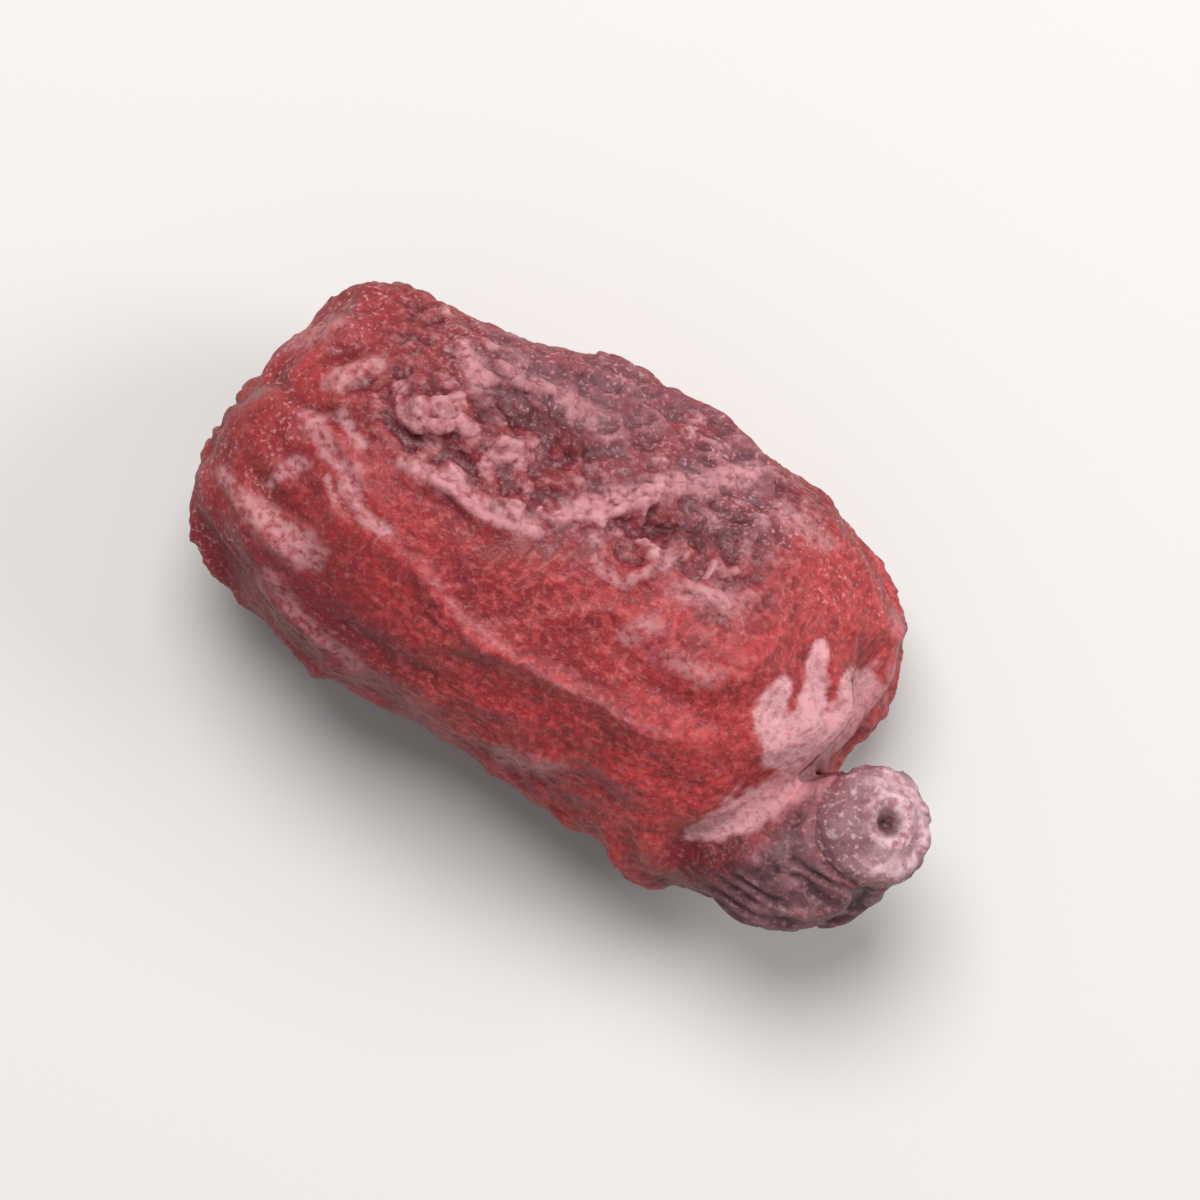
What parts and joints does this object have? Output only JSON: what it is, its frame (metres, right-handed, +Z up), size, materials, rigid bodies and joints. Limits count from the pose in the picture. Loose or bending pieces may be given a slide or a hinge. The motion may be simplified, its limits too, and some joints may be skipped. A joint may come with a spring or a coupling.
{
  "type": "dried barberry",
  "caption": "Dried barberry: a small oblong shrivelled red fruit with a wrinkled skin, a stalk scar at one end and a pale stigma knob at the other.",
  "frame": {"origin": "on the surface the fruit rests on, under the middle of its box", "axes": "+X along the fruit, towards the stigma knob; +Z up, away from the flat spot it rests on"},
  "size_m": [0.009, 0.0048, 0.004],
  "materials": {
    "skin": "dried fruit skin, satin and wrinkled, with pale bloom on its ridges"
  },
  "bodies": {
    "root": {"berry": "skin"}
  },
  "joints": []
}
